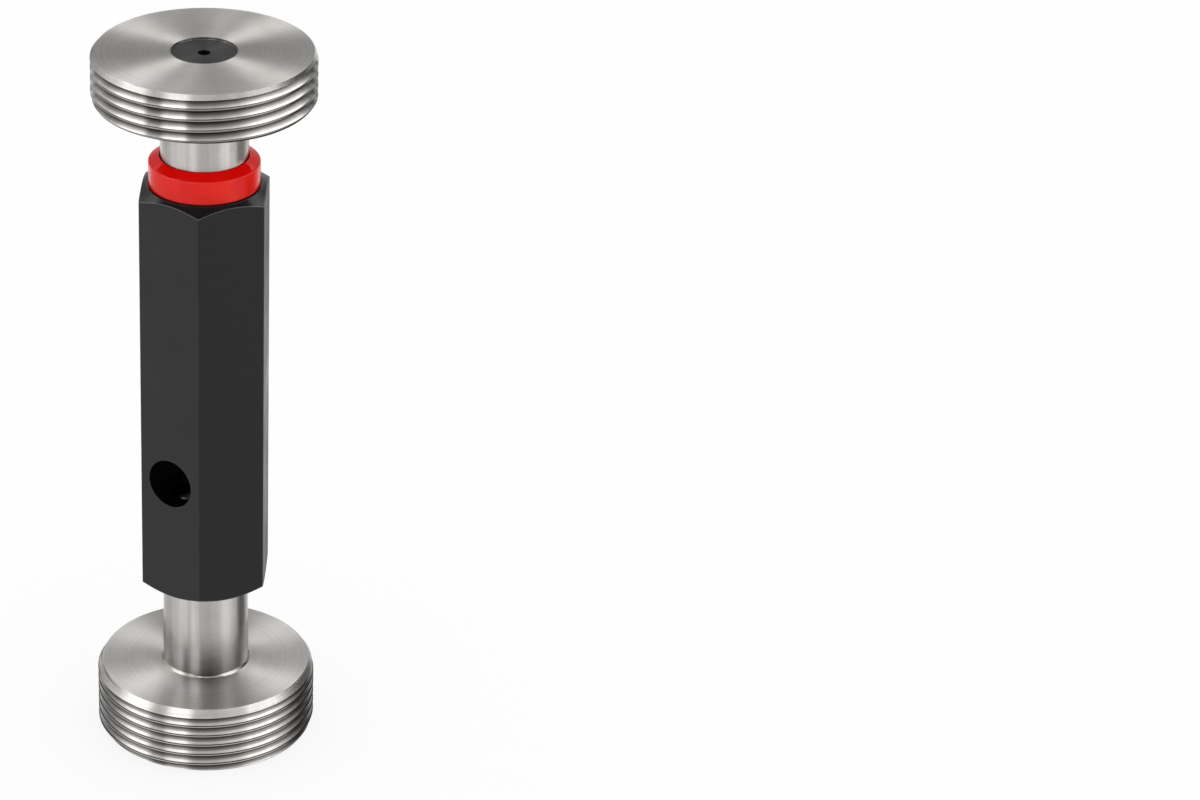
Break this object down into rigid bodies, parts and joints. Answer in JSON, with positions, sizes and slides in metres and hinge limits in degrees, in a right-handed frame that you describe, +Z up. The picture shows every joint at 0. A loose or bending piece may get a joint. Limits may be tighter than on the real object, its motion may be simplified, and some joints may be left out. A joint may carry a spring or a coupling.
{
  "type": "thread plug gauge",
  "caption": "Double-ended taper-lock thread plug gauge: hexagonal handle with a drift hole, full-form GO thread disc, truncated NO-GO thread disc and a coloured NO-GO marker ring.",
  "frame": {"origin": "middle of the GO member's outer face, on which the gauge stands", "axes": "+Z up along the gauge's axis towards the NO-GO end, Y along the drift hole"},
  "size_m": [0.04, 0.04, 0.1347],
  "materials": {
    "handle_black": "satin black anodised",
    "gauge_steel": "fine turned and ground, uncoated",
    "marker_red": "glossy"
  },
  "bodies": {
    "root": {"handle": "handle_black", "go_member": "gauge_steel", "no_go_member": "gauge_steel", "no_go_ring": "marker_red"}
  },
  "joints": []
}
